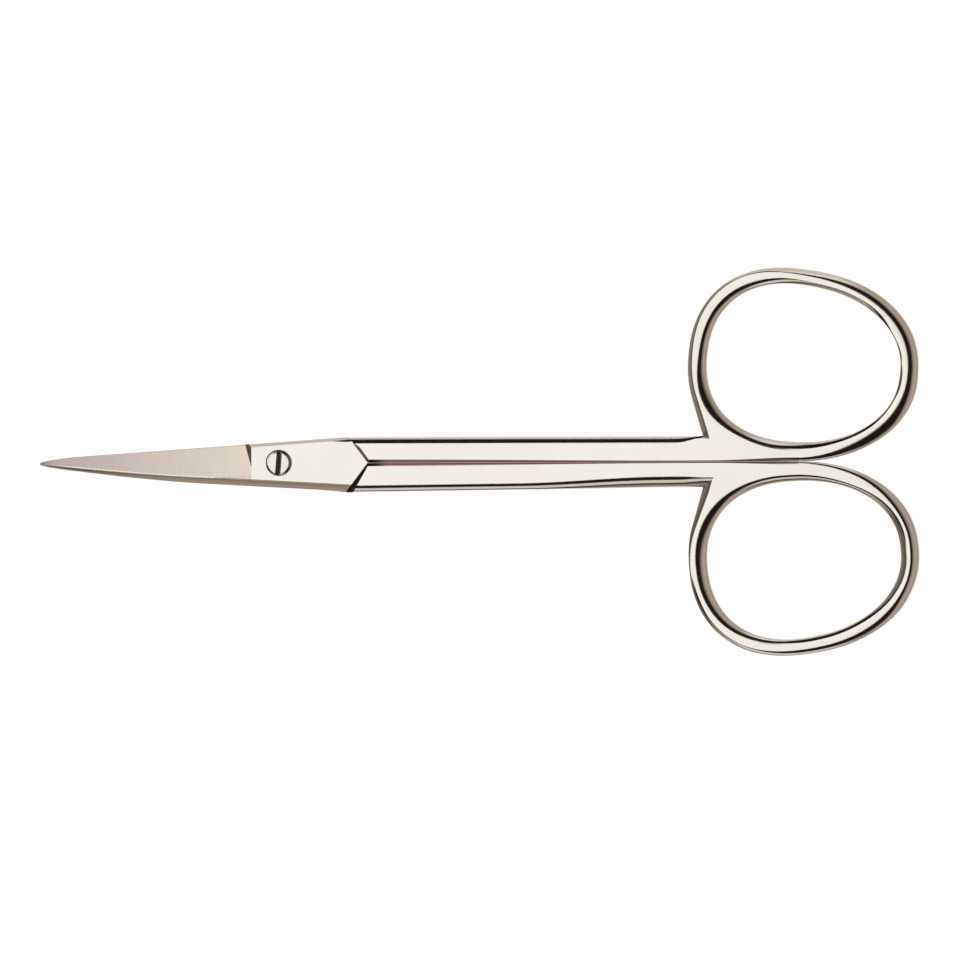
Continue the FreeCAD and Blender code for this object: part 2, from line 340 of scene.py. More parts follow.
class Shell:
    """Points and faces of one closed surface."""

    def __init__(self):
        self.points = []
        self.faces = []

    def add_rows(self, rows):
        """Quads between closed rows of points, and the indices of the first and last row."""
        start = len(self.points)
        count = len(rows[0])
        for row in rows:
            self.points += row
        for r in range(len(rows) - 1):
            low = start + r * count
            for i in range(count):
                j = (i + 1) % count
                self.faces.append((low + i, low + j, low + count + j, low + count + i))
        last = start + (len(rows) - 1) * count
        return list(range(start, start + count)), list(range(last, last + count))

    def add_flat(self, loops, upward):
        """Triangles of a level face between its outer loop and any holes."""
        indices = [i for loop in loops for i in loop]
        flat = [Vector(self.points[i][:2]) for i in indices]
        edges = []
        start = 0
        for loop in loops:
            count = len(loop)
            edges += [(start + i, start + (i + 1) % count) for i in range(count)]
            start += count
        inside_edges = 1
        nearness = 1e-7
        result = delaunay_2d_cdt(flat, edges, [], inside_edges, nearness)
        sources = [indices[origin[0]] for origin in result[3]]
        holes = [set(loop) for loop in loops[1:]]
        for face in result[2]:
            corners = [sources[i] for i in face]
            if not any(hole.issuperset(corners) for hole in holes):
                self.faces.append(corners if upward else corners[::-1])

    def turned_over(self):
        """The same shell turned half round about the X axis at mid thickness."""
        self.points = [(x, -y, THICKNESS - z) for x, y, z in self.points]
        return self

    def to_object(self, name):
        """Mesh object of the shell, still in millimetres."""
        mesh = bpy.data.meshes.new(name)
        mesh.from_pydata(self.points, [], self.faces)
        mesh.validate()
        piece = bpy.data.objects.new(name, mesh)
        bpy.context.scene.collection.objects.link(piece)
        return piece


def closed_shell(rows):
    """Shell through closed rows of points, with a face over each end."""
    shell = Shell()
    first, last = shell.add_rows(rows)
    shell.faces += [first[::-1], last]
    return shell


def prism(outline, low, high, shift=0.0):
    """Upright block over a counterclockwise outline, its top moved along X by shift."""
    bottom = [(x, y, low) for x, y in outline]
    top = [(x + shift, y, high) for x, y in outline]
    return closed_shell([bottom, top])


def lathe(profile):
    """Turned solid on the screw's axis, from (radius, height) pairs running upwards."""
    turns = [2 * math.pi * i / CIRCLE_POINTS for i in range(CIRCLE_POINTS)]
    return closed_shell([[(PIVOT_X + r * math.cos(t), r * math.sin(t), z) for t in turns] for r, z in profile])


def carve(piece, tool, operation):
    """Joins or cuts one object with another, which is then removed."""
    modifier = piece.modifiers.new(operation, "BOOLEAN")
    modifier.operation = operation
    modifier.solver = "EXACT"
    modifier.object = tool
    depsgraph = bpy.context.evaluated_depsgraph_get()
    result = bpy.data.meshes.new_from_object(piece.evaluated_get(depsgraph))
    piece.modifiers.clear()
    piece.data = result
    bpy.data.objects.remove(tool)


def oval_point(turn, half_length, half_width, tilt, centre):
    """Point of a squarish egg-shaped oval, narrower at the end away from the blades."""
    cosine = math.cos(turn)
    sine = math.sin(turn)
    power = 2 / BOW_SQUARENESS
    along = math.copysign(abs(cosine) ** power, cosine)
    across = math.copysign(abs(sine) ** power, sine) * half_width * (1 - BOW_EGG * along)
    along *= half_length
    lean = math.radians(tilt)
    return (centre[0] + along * math.cos(lean) - across * math.sin(lean),
            centre[1] + along * math.sin(lean) + across * math.cos(lean))


def outer_oval(turn, centre):
    return oval_point(turn, BOW_HALF_LENGTH, BOW_HALF_WIDTH, BOW_TILT, centre)


def hole_oval(turn, centre):
    raised = (centre[0], centre[1] + HOLE_RISE)
    return oval_point(turn, HOLE_HALF_LENGTH, HOLE_HALF_WIDTH, HOLE_TILT, raised)


def outward(oval, turn, centre):
    """Unit vector across an oval's outline, away from its middle."""
    step = 0.004
    x0, y0 = oval(turn - step, centre)
    x1, y1 = oval(turn + step, centre)
    length = math.hypot(x1 - x0, y1 - y0)
    return (y1 - y0) / length, (x0 - x1) / length


def bow_placement():
    """Centre of a bow that ends the tool and touches the closing line, and its lowest turn."""
    samples = 720
    turns = [2 * math.pi * i / samples for i in range(samples)]
    loop = [outer_oval(t, (0, 0)) for t in turns]
    lowest = min(range(samples), key=lambda i: loop[i][1])
    return (END_X - max(p[0] for p in loop), CLOSING_Y - loop[lowest][1]), turns[lowest]


BOW_CENTRE, BOW_LOW_TURN = bow_placement()


def even_turns(oval, start, end, count):
    """Turns that space points evenly along a stretch of an oval."""
    samples = 2000
    turns = [start + (end - start) * i / samples for i in range(samples + 1)]
    points = [oval(t, BOW_CENTRE) for t in turns]
    lengths = [0.0]
    for a, b in zip(points, points[1:]):
        lengths.append(lengths[-1] + math.dist(a, b))
    chosen = []
    place = 0
    for i in range(count + 1):
        wanted = lengths[-1] * i / count
        while place < samples - 1 and lengths[place + 1] < wanted:
            place += 1
        share = (wanted - lengths[place]) / (lengths[place + 1] - lengths[place])
        chosen.append(turns[place] + (turns[place + 1] - turns[place]) * share)
    return chosen


@functools.lru_cache(maxsize=None)
def round_profile(roll_angle, power):
    """(drawn in, height) steps of a rounded edge of width 1, from the side wall up to the face."""
    roll = math.radians(roll_angle)
    reach = 1 - LIP_SHARE * (1 - math.sin(roll))
    crowding = min(1 / power, MOST_CROWDING)
    runs = [(i / ROUND_STEPS) ** crowding for i in range(ROUND_STEPS + 1)]
    points = [(1.0, 0.0)]
    for before, after in zip(runs, runs[1:]):
        tilt = roll * (before ** power + after ** power) / 2
        run = reach * (after - before)
        points.append((points[-1][0] - run, points[-1][1] - run * math.tan(tilt)))
    drop = points[-1][1]
    for i in range(1, LIP_STEPS + 1):
        tilt = mix(roll, math.pi / 2, i / LIP_STEPS)
        drawn = LIP_SHARE * (1 - math.sin(tilt))
        points.append((drawn, drop - LIP_SHARE * (math.cos(roll) - math.cos(tilt))))
    return points[::-1]


def round_levels():
    """(side, step) from the lower face round the edge to the upper face."""
    steps = range(LIP_STEPS + ROUND_STEPS + 1)
    return [(-1, step) for step in reversed(steps)] + [(1, step) for step in steps]


def edge_point(point, facing, rim, level):
    """Point of a rounded edge at one level, for an outline point and the way its edge faces."""
    side, step = level
    width, roll, power = rim
    drawn, height = round_profile(roll, power)[step]
    return (point[0] - facing[0] * width * drawn, point[1] - facing[1] * width * drawn,
            THICKNESS / 2 + side * (THICKNESS / 2 + height * width))


class Handle:
    """Outlines of a shank and bow with edges whose rounding changes along their length."""

    def __init__(self, half):
        self.half = half
        self.start_x = half.root_x - HANDLE_LEAD
        self.low_x = outer_oval(BOW_LOW_TURN, BOW_CENTRE)[0]
        self.bow_x = outer_oval(math.pi, BOW_CENTRE)[0]
        self.corner = (CORNER_X, self.shank_y(CORNER_X))
        self.neck_turn = self.find_neck()

    def shank_y(self, x):
        """Outer edge of the shank."""
        root = (self.half.root_x, self.half.shank_root_y)
        return line_through(root, (self.bow_x, self.half.shank_bow_y), x)

    def find_neck(self):
        """Turn at which a straight neck leaves the bow for the corner with the shank."""
        low = 3 * math.pi
        high = low + math.pi / 3
        halvings = 50
        for _ in range(halvings):
            middle = (low + high) / 2
            x, y = outer_oval(middle, BOW_CENTRE)
            across = outward(outer_oval, middle, BOW_CENTRE)
            if across[0] * (self.corner[0] - x) + across[1] * (self.corner[1] - y) < 0:
                low = middle
            else:
                high = middle
        return (low + high) / 2

    def shank_rim(self, x):
        """Rounding of the shank's outer edge."""
        rim = mix_rims(self.half.root_rim, self.half.bow_rim, ease(x, *SHANK_RIM_SPAN))
        return mix_rims(rim, self.half.corner_rim, ease(x, CORNER_X - CORNER_RIM_RUN, CORNER_X))

    def bow_rims(self, turn):
        """Roundings of the bow's outer edge and of its finger hole's edge."""
        place = math.degrees(turn) / 360 * len(self.half.rims)
        rows = [outer + hole for outer, hole in self.half.rims]
        values = smooth_round(rows, place)
        return values[:3], values[3:]

    def closing_rim(self, x):
        """Rounding of the closing edge, which narrows towards the fork and opens under the bow."""
        width = mix(CLOSING_ROOT_ROUND, CLOSING_FORK_ROUND, ease(x, self.half.root_x, self.bow_x))
        under_bow = ease(x, self.low_x - CLOSING_RIM_RUN, self.low_x)
        return mix_rims((width, CLOSING_ROLL_ANGLE, 1.0), self.bow_rims(BOW_LOW_TURN)[0], under_bow)

    def closing_part(self, level):
        """Points along the closing line from the root to the bow."""
        points = []
        for i in range(SHANK_POINTS):
            x = mix(self.start_x, self.low_x, i / SHANK_POINTS)
            points.append(edge_point((x, CLOSING_Y), (0, -1), self.closing_rim(x), level))
        return points

    def ring_part(self, level):
        """Points round the bow from the closing line to the neck."""
        points = []
        for turn in even_turns(outer_oval, BOW_LOW_TURN, self.neck_turn, RING_POINTS):
            facing = outward(outer_oval, turn, BOW_CENTRE)
            points.append(edge_point(outer_oval(turn, BOW_CENTRE), facing, self.bow_rims(turn)[0], level))
        return points

    def neck_part(self, level):
        """Points down the neck and into the corner with the shank."""
        start = outer_oval(self.neck_turn, BOW_CENTRE)
        facing = outward(outer_oval, self.neck_turn, BOW_CENTRE)
        rim = self.bow_rims(self.neck_turn)[0]
        neck_rim = self.half.neck_rim
        points = []
        for i in range(1, NECK_POINTS):
            share = i / NECK_POINTS
            place = (mix(start[0], self.corner[0], share), mix(start[1], self.corner[1], share))
            points.append(edge_point(place, facing, mix_rims(rim, neck_rim, share), level))
        shank_rim = self.shank_rim(CORNER_X)
        middle_rim = mix_rims(neck_rim, shank_rim, 0.5)
        mitre_x = (neck_rim[0] - facing[1] * shank_rim[0]) / (facing[0] * middle_rim[0])
        mitre = (mitre_x, shank_rim[0] / middle_rim[0])
        points.append(edge_point(self.corner, mitre, middle_rim, level))
        return points

    def shank_part(self, corner_x, level):
        """Points along the shank's outer edge from the corner back to the root."""
        points = []
        for i in range(1, SHANK_POINTS + 1):
            x = mix(corner_x, self.start_x, i / SHANK_POINTS)
            points.append(edge_point((x, self.shank_y(x)), (0, 1), self.shank_rim(x), level))
        return points

    def outer_row(self, level):
        """Closed outer outline at one level of the rounding, counterclockwise from the root."""
        row = self.closing_part(level) + self.ring_part(level) + self.neck_part(level)
        return row + self.shank_part(row[-1][0], level)

    def hole_row(self, level):
        """Finger hole at one level of the rounding, clockwise."""
        row = []
        for turn in even_turns(hole_oval, 2 * math.pi, 0.0, RING_POINTS)[:-1]:
            across = outward(hole_oval, turn, BOW_CENTRE)
            facing = (-across[0], -across[1])
            row.append(edge_point(hole_oval(turn, BOW_CENTRE), facing, self.bow_rims(turn)[1], level))
        return row

    def shell(self):
        shell = Shell()
        outer_low, outer_high = shell.add_rows([self.outer_row(level) for level in round_levels()])
        hole_low, hole_high = shell.add_rows([self.hole_row(level) for level in round_levels()])
        shell.add_flat([outer_high, hole_high], True)
        shell.add_flat([outer_low, hole_low], False)
        return shell


def round_corner(before, corner, after, radius, steps=CORNER_STEPS):
    """Points of an arc that rounds one corner of a section."""
    back = Vector(before) - Vector(corner)
    ahead = Vector(after) - Vector(corner)
    half_angle = back.angle(ahead) / 2
    cut = min(radius / math.tan(half_angle), CORNER_LIMIT * back.length, CORNER_LIMIT * ahead.length)
    radius = cut * math.tan(half_angle)
    first = Vector(corner) + back.normalized() * cut
    last = Vector(corner) + ahead.normalized() * cut
    inward = (back.normalized() + ahead.normalized()).normalized()
    middle = Vector(corner) + inward * (radius / math.sin(half_angle))
    points = []
    for i in range(steps + 1):
        arm = (first - middle).lerp(last - middle, i / steps).normalized() * radius
        points.append(tuple(middle + arm))
    return points


def bulge(start, end, share):
    """Points on the first half of an arc between two corners, which stands out by a share of the chord."""
    along = Vector(end) - Vector(start)
    out = Vector((-along.y, along.x)) * share
    steps = (0.15, 0.3, 0.45)
    return [tuple(Vector(start) + along * step + out * 4 * step * (1 - step)) for step in steps]


class Blade:
    """Sections of a blade and its joint plate, with the cutting edge towards +Y."""

    def __init__(self, half):
        self.half = half
        height = PLATE_TOP - PLATE_BASE
        self.run = height / math.tan(math.radians(RICASSO_WALL_ANGLE))
        self.foot_x = RICASSO_X - self.run
        drop = math.tan(math.radians(GRIND_ANGLE)) * RICASSO_END_Y + PLUNGE_RISE
        self.face_line = ((SHARP_X, TIP_HEIGHT), (RICASSO_X, height - drop))

    def edge_y(self, x):
        return line_through(*self.half.edge_line, x) * nose(x - SHARP_X, EDGE_NOSE)

    def spine_y(self, x):
        share = nose(x - SHARP_X, self.half.spine_nose, SPINE_NOSE_POWER)
        return line_through(*self.half.spine_line, x) * share

    def wall_top(self, x):
        """Upper edge of the spine's wall, which rises along the blade and runs level along the plate."""
        rise = line_through((SHARP_X, SPINE_WALL_TIP), (RICASSO_X - SPINE_WALL_RUN, SPINE_WALL_ROOT), x)
        return PLATE_BASE + min(rise, SPINE_WALL_ROOT) * nose(x - SHARP_X, EDGE_NOSE)

    def face_height(self, x):
        """Height of the ground face on the closing line, which sweeps up where the wheel left it."""
        plunge = max(1 - (RICASSO_X - x) / PLUNGE_LENGTH, 0.0)
        rise = line_through(*self.face_line, x) * nose(x - SHARP_X, EDGE_NOSE)
        return PLATE_BASE + rise + PLUNGE_RISE * plunge ** 2

    def joined_section(self, x, corners, edge):
        """Section through four corners and the points of its edge, with the spine bevel bulging."""
        foot, shelf, crest, fold = corners
        bevel = bulge(shelf, crest, SPINE_BEVEL_BULGE)
        section = [foot]
        section += round_corner(foot, shelf, bevel[0], SHELF_ROUND)
        section += bevel
        section += round_corner(bevel[-1], crest, fold, CREST_ROUND, CREST_STEPS)
        section.append(fold)
        section += [tuple(Vector(fold).lerp(Vector(edge[0]), share)) for share in FACE_LOOPS]
        section += edge
        return [(x, y, z) for y, z in section]

    def blade_section(self, x):
        """Ground blade: spine wall and bevel, narrow flat crest, sloping face, edge bevel, inner face."""
        edge = self.edge_y(x)
        spine = self.spine_y(x)
        wall = self.wall_top(x)
        face = self.face_height(x)
        grind = math.tan(math.radians(GRIND_ANGLE))
        steepening = ease(x, SHARP_X, RICASSO_X - SPINE_BEVEL_RUN)
        spine_angle = mix(SPINE_BEVEL_TIP_ANGLE, SPINE_BEVEL_ANGLE, steepening)
        spine_slope = math.tan(math.radians(spine_angle))
        edge_slope = math.tan(math.radians(EDGE_BEVEL_ANGLE))
        strip = CREST_STRIP * min((x - SHARP_X) / EDGE_NOSE, 1.0)
        top = (face / grind + wall / spine_slope + spine - strip) / (1 / grind + 1 / spine_slope)
        top = min(top, PLATE_TOP - JOIN_STEP)
        edge_bevel = (face - grind * edge - PLATE_BASE) / (edge_slope - grind)
        foot = (-spine, PLATE_BASE)
        shelf = (-spine, wall)
        crest = ((top - wall) / spine_slope - spine, top)
        fold = ((face - top) / grind, top)
        brow = (edge - edge_bevel, PLATE_BASE + edge_bevel * edge_slope)
        point = (edge, PLATE_BASE)
        rounded = round_corner(fold, brow, point, BROW_ROUND, BROW_STEPS)
        return self.joined_section(x, (foot, shelf, crest, fold), rounded + [point])

    def plate_section(self, x):
        """Joint plate: the blade's spine carried on a hair wider, a flat face and a rounded edge side."""
        edge = self.edge_y(x) + JOIN_STEP
        spine = self.spine_y(x) + JOIN_STEP
        base = PLATE_BASE - JOIN_STEP
        wall = self.wall_top(x)
        run = (PLATE_TOP - wall) / math.tan(math.radians(SPINE_BEVEL_ANGLE))
        foot = (-spine, base)
        shelf = (-spine, wall)
        crest = (run - spine, PLATE_TOP)
        fold = (mix(crest[0], edge, PLATE_FOLD_SHARE), PLATE_TOP)
        root_start, root_end = (self.half.root_x - lead for lead in PLATE_ROOT_RUN)
        root = PLATE_ROOT_SHARE * ease(x, root_start, root_end)
        width, roll, power = mix_rims(PLATE_RIM, self.half.root_rim, root)
        steps = round_profile(roll, power)[::-1]
        rounded = [(edge - width * drawn, PLATE_TOP + width * height) for drawn, height in steps]
        return self.joined_section(x, (foot, shelf, crest, fold), rounded + [(edge, base)])

    def blade_shell(self):
        nose_end = SHARP_X + max(EDGE_NOSE, self.half.spine_nose)
        blade_end = RICASSO_X + PLATE_RIM[0]
        shares = [i / NOSE_STATIONS for i in range(NOSE_STATIONS + 1)]
        stations = [TIP_X + (nose_end - TIP_X) * share ** 2 for share in shares]
        steps = [i / BLADE_STATIONS for i in range(1, BLADE_STATIONS + 1)]
        stations += [nose_end + (blade_end - nose_end) * step for step in steps]
        return closed_shell([self.blade_section(x) for x in stations])

    def plate_shell(self):
        start = self.foot_x - PLATE_LEAD
        end = PLATE_END_X + PLATE_OVERRUN
        steps = [i / BLADE_STATIONS for i in range(BLADE_STATIONS + 1)]
        return closed_shell([self.plate_section(start + (end - start) * step) for step in steps])


def left_of_line(x, angle, low, high, shift=0.0):
    """Block on the blades' side of a slanting line through (x, 0)."""
    lean = REACH / math.tan(math.radians(angle))
    outline = [(x - LONG_REACH, -REACH), (x + lean, -REACH), (x - lean, REACH), (x - LONG_REACH, REACH)]
    return prism(outline, low, high, shift)


def right_of_crease(x):
    """Block past a line parallel to the crease, on the shank's side of the closing line."""
    lean = REACH / math.tan(math.radians(CREASE_ANGLE))
    return prism([(x, 0), (x + REACH, 0), (x + REACH, REACH), (x - lean, REACH)], -REACH, 2 * REACH)


def past_plate_end(x):
    """Block past the plate's slanting end, on the other half's side of the closing line."""
    lean = REACH / math.tan(math.radians(PLATE_END_ANGLE))
    return prism([(x - lean, -REACH), (x + REACH, -REACH), (x + REACH, 0), (x, 0)], -REACH, 2 * REACH)


def ricasso_block(blade):
    """Block in front of the leaning wall in which the plate ends above the blade."""
    height = PLATE_TOP - PLATE_BASE
    outline = [(blade.foot_x - REACH, -REACH), (blade.foot_x, -REACH),
               (blade.foot_x, REACH), (blade.foot_x - REACH, REACH)]
    shell = prism(outline, PLATE_BASE - height, PLATE_TOP + height)
    shell.points = [(x + (z - PLATE_BASE) * blade.run / height, y, z) for x, y, z in shell.points]
    return shell


def forge_half(name, handle, turn_over):
    """One forging: blade and joint plate joined to shank and bow."""
    blade = Blade(handle.half)
    crease_base = PLATE_TOP - JOIN_STEP
    crease_top = PLATE_TOP + CREASE_REACH * (THICKNESS - PLATE_TOP)
    crease_run = CREASE_REACH * CREASE_RUN
    shells = {
        "handle": handle.shell(),
        "shoulder": left_of_line(PLATE_END_X + SHOULDER_GAP, SHOULDER_ANGLE, -REACH, PLATE_BASE),
        "crease": left_of_line(PLATE_END_X, CREASE_ANGLE, crease_base, crease_top, crease_run),
        "end": left_of_line(PLATE_END_X, CREASE_ANGLE, -REACH, 2 * REACH),
        "plate": blade.plate_shell(), "blade": blade.blade_shell(),
        "past_crease": right_of_crease(PLATE_END_X + CREASE_OVERLAP),
        "past_end": past_plate_end(PLATE_END_X), "ricasso": ricasso_block(blade),
    }
    if turn_over:
        shells = {key: shell.turned_over() for key, shell in shells.items()}
    made = {key: shell.to_object(f"{name}_{key}") for key, shell in shells.items()}
    for cutter in ("shoulder", "end", "crease"):
        carve(made["handle"], made[cutter], "DIFFERENCE")
    for cutter in ("past_crease", "past_end", "ricasso"):
        carve(made["plate"], made[cutter], "DIFFERENCE")
    carve(made["plate"], made["blade"], "UNION")
    carve(made["handle"], made["plate"], "UNION")
    return made["handle"]


def bore(radius, low, high, offset=(0.0, 0.0)):
    """Round cutter on the screw's axis or a little beside it."""
    shell = lathe([(radius, low), (radius, high)])
    shell.points = [(x + offset[0], y + offset[1], z) for x, y, z in shell.points]
    return shell.to_object("bore")


def make_upper_half(handle):
    piece = forge_half("upper_forging", handle, False)
    seat = PLATE_TOP - HEAD_HEIGHT - SEAT_CLEARANCE
    carve(piece, bore(JOURNAL_RADIUS + JOURNAL_CLEARANCE, -REACH, REACH), "DIFFERENCE")
    carve(piece, bore(HEAD_RADIUS + HEAD_CLEARANCE, seat, REACH, HEAD_OFFSET), "DIFFERENCE")
    piece.name = "upper_forging"
    return piece


def make_lower_half(handle):
    piece = forge_half("lower_forging", handle, True)
    carve(piece, bore(THREAD_RADIUS + THREAD_CLEARANCE, -REACH, REACH), "DIFFERENCE")
    piece.name = "lower_forging"
    return piece


def slot_cutter():
    """Bar cut lengthwise through the head: a level floor beside a worn shoulder that rises away from it."""
    bottom = PLATE_TOP - SLOT_DEPTH
    top = PLATE_TOP + REACH
    shoulder = [(0.0, bottom)]
    for angle in SLOT_RAMP_ANGLES:
        y, z = shoulder[-1]
        shoulder.append((y - SLOT_RAMP_STEP, z + SLOT_RAMP_STEP * math.tan(math.radians(angle))))
    section = shoulder[::-1]
    section += [(SLOT_FLOOR_WIDTH, bottom), (SLOT_FLOOR_WIDTH, top), (shoulder[-1][0], top)]
    return closed_shell([[(x, y, z) for y, z in section] for x in (-REACH, REACH)])


def make_screw():
    """Slotted screw with a slightly domed head."""
    low = THICKNESS - PLATE_TOP
    lap = THICKNESS - PLATE_BASE
    seat = PLATE_TOP - HEAD_HEIGHT
    rim = PLATE_TOP - HEAD_DOME
    edge_run, edge_drop = HEAD_EDGE
    profile = [(THREAD_RADIUS - THREAD_CHAMFER, low), (THREAD_RADIUS, low + THREAD_CHAMFER),
               (THREAD_RADIUS, lap), (JOURNAL_RADIUS, lap), (JOURNAL_RADIUS, seat), (HEAD_RADIUS, seat),
               (HEAD_RADIUS, rim - HEAD_CHAMFER), (HEAD_FACE_RADIUS + edge_run, rim - edge_drop),
               (HEAD_FACE_RADIUS, rim)]
    for share in DOME_SHARES:
        profile.append((HEAD_FACE_RADIUS * share, rim + HEAD_DOME * (1 - share ** 2)))
    piece = lathe(profile).to_object("slotted_screw")
    slot = slot_cutter().to_object("slot")
    slot.data.transform(Matrix.Translation((PIVOT_X + SLOT_SHIFT, 0, 0)) @
                        Matrix.Rotation(math.radians(SLOT_ANGLE), 4, "Z"))
    carve(piece, slot, "DIFFERENCE")
    return piece


def finish_mesh(piece):
    """Scales a piece to metres and gives it smooth shading that breaks at its crisp edges."""
    mesh = piece.data
    mesh.transform(Matrix.Scale(MM, 4))
    mesh.shade_smooth()
    mesh.set_sharp_from_angle(angle=math.radians(SMOOTH_ANGLE))
    weighted = piece.modifiers.new("weighted_normals", "WEIGHTED_NORMAL")
    weighted.keep_sharp = True


class Graph:
    """Shader nodes of one material or of the world."""

    def __init__(self, owner):
        owner.use_nodes = True
        self.nodes = owner.node_tree.nodes
        self.links = owner.node_tree.links

    def add(self, kind):
        return self.nodes.new("ShaderNode" + kind)

    def feed(self, socket, source):
        """Sets a socket to a number or a colour, or links it to another node's output."""
        if isinstance(source, float):
            socket.default_value = source
        elif isinstance(source, tuple):
            socket.default_value = (*source, 1)
        else:
            self.links.new(source, socket)

    def place(self, space):
        """X, Y and Z in a texture space."""
        split = self.add("SeparateXYZ")
        self.feed(split.inputs["Vector"], self.add("TexCoord").outputs[space])
        return split.outputs["X"], split.outputs["Y"], split.outputs["Z"]

    def noise(self, stretch, scale, detail=4.0):
        """Noise in object space, drawn out along the axes by the stretch."""
        mapping = self.add("Mapping")
        mapping.inputs["Scale"].default_value = stretch
        self.feed(mapping.inputs["Vector"], self.add("TexCoord").outputs["Object"])
        node = self.add("TexNoise")
        node.inputs["Scale"].default_value = scale
        node.inputs["Detail"].default_value = detail
        self.feed(node.inputs["Vector"], mapping.outputs["Vector"])
        return node.outputs["Fac"]

    def ramp(self, source, stops):
        """Colour ramp over a value, with (position, colour) stops."""
        node = self.add("ValToRGB")
        elements = node.color_ramp.elements
        for element, (position, colour) in ((elements[0], stops[0]), (elements[1], stops[-1])):
            element.position = position
            element.color = (*colour, 1)
        for position, colour in stops[1:-1]:
            elements.new(position).color = (*colour, 1)
        self.feed(node.inputs["Fac"], source)
        return node.outputs["Color"]

    def remap(self, source, span, new_span):
        """Value carried over from one span to another."""
        node = self.add("MapRange")
        for name, limit in zip(("From Min", "From Max", "To Min", "To Max"), (*span, *new_span)):
            node.inputs[name].default_value = limit
        self.feed(node.inputs["Value"], source)
        return node.outputs["Result"]

    def soften(self, source, low, high):
        """Smooth share from 0 at low to 1 at high, which may also lie below low."""
        node = self.add("MapRange")
        node.interpolation_type = "SMOOTHSTEP"
        node.inputs["From Min"].default_value = low
        node.inputs["From Max"].default_value = high
        self.feed(node.inputs["Value"], source)
        return node.outputs["Result"]

    def combine(self, operation, first, second):
        node = self.add("Math")
        node.operation = operation
        self.feed(node.inputs[0], first)
        self.feed(node.inputs[1], second)
        return node.outputs["Value"]

    def blend(self, share, first, second):
        """Colour between two others."""
        node = self.add("Mix")
        node.data_type = "RGBA"
        self.feed(node.inputs["Factor"], share)
        self.feed(node.inputs[6], first)
        self.feed(node.inputs[7], second)
        return node.outputs[2]

    def between(self, source, low, high, blur):
        """Share that is 1 where a value lies between low and high, with soft ends."""
        rises = self.soften(source, low - blur, low + blur)
        falls = self.soften(source, high + blur, high - blur)
        return self.combine("MULTIPLY", rises, falls)

    def box_share(self, along, across, box):
        """Share that is 1 inside a rectangle on the ceiling, given by two spans and a blur."""
        along_span, across_span, blur = box
        in_length = self.between(along, *along_span, blur)
        in_width = self.between(across, *across_span, blur)
        return self.combine("MULTIPLY", in_length, in_width)

    def matt(self, grey):
        node = self.add("BsdfDiffuse")
        node.inputs["Color"].default_value = (grey, grey, grey, 1)
        return node.outputs["BSDF"]


class Metal(Graph):
    """Shader nodes of a new metal."""

    def __init__(self, name):
        self.material = bpy.data.materials.new(name)
        super().__init__(self.material)
        self.shader = self.nodes["Principled BSDF"]
        self.shader.inputs["Metallic"].default_value = 1.0

    def clouded(self, source, dark, light):
        """Tones between two colours that follow a noise."""
        return self.ramp(source, list(zip(NOISE_SPAN, (dark, light))))

    def wandering_x(self, cloud, reach):
        """Distance along the tool, which a noise moves to and fro by a reach."""
        wander = self.remap(cloud, (0.0, 1.0), (-reach * MM, reach * MM))
        return self.combine("ADD", self.place("Object")[0], wander)

    def scratch(self, lines, strength):
        node = self.add("Bump")
        node.inputs["Strength"].default_value = strength
        node.inputs["Distance"].default_value = SCRATCH_DEPTH * MM
        self.feed(node.inputs["Height"], lines)
        self.feed(self.shader.inputs["Normal"], node.outputs["Normal"])

    def finish(self, colour, roughness):
        self.feed(self.shader.inputs["Base Color"], colour)
        self.feed(self.shader.inputs["Roughness"], roughness)
        return self.material


def polished_nickel():
    """Warm bright nickel plate with faint polishing waves and buffing lines along the tool."""
    metal = Metal("polished_nickel")
    tone = metal.clouded(metal.noise(EVEN, 220.0), (0.885, 0.845, 0.745), (0.915, 0.882, 0.800))
    buff = metal.noise((0.06, 1, 1), 9000.0, 2.0)
    metal.scratch(buff, 0.02)
    return metal.finish(tone, metal.remap(buff, NOISE_SPAN, (0.085, 0.125)))


def ground_steel_tip_shade():
    """Satin blade face with fine grinding lines across it, and painted shade darker towards the tip."""
    metal = Metal("ground_steel_tip_shade")
    along = metal.remap(metal.place("Object")[0], (TIP_X * MM, RICASSO_X * MM), (0.0, 1.0))
    # Painted shade: the colour darkens from the joint towards the tip, and is near black at the tip itself.
    tone = metal.ramp(along, [
        (0.0, (0.24, 0.195, 0.18)), (0.035, (0.50, 0.41, 0.39)),
        (0.07, (0.62, 0.51, 0.485)), (1.0, (0.96, 0.855, 0.72)),
    ])
    lines = metal.noise((1, 0.04, 0.04), 14000.0, 3.0)
    metal.scratch(lines, 0.003)
    return metal.finish(tone, metal.remap(lines, NOISE_SPAN, (0.25, 0.30)))


def screw_nickel():
    """Nickel of the screw head, a little clouded."""
    metal = Metal("screw_nickel")
    cloud = metal.noise(EVEN, 900.0)
    tone = metal.clouded(cloud, (0.84, 0.81, 0.73), (0.90, 0.88, 0.81))
    return metal.finish(tone, metal.remap(cloud, NOISE_SPAN, (0.10, 0.18)))


def dull_steel_with_shade(name, dark, light, roughness):
    """Dull clouded steel of one of the small unpolished faces, in dark colours that paint shade on it."""
    metal = Metal(name)
    cloud = metal.noise(EVEN, STAIN_SCALE)
    rough_span = (roughness - ROUGHNESS_SPREAD, roughness + ROUGHNESS_SPREAD)
    return metal.finish(metal.clouded(cloud, dark, light), metal.remap(cloud, NOISE_SPAN, rough_span))


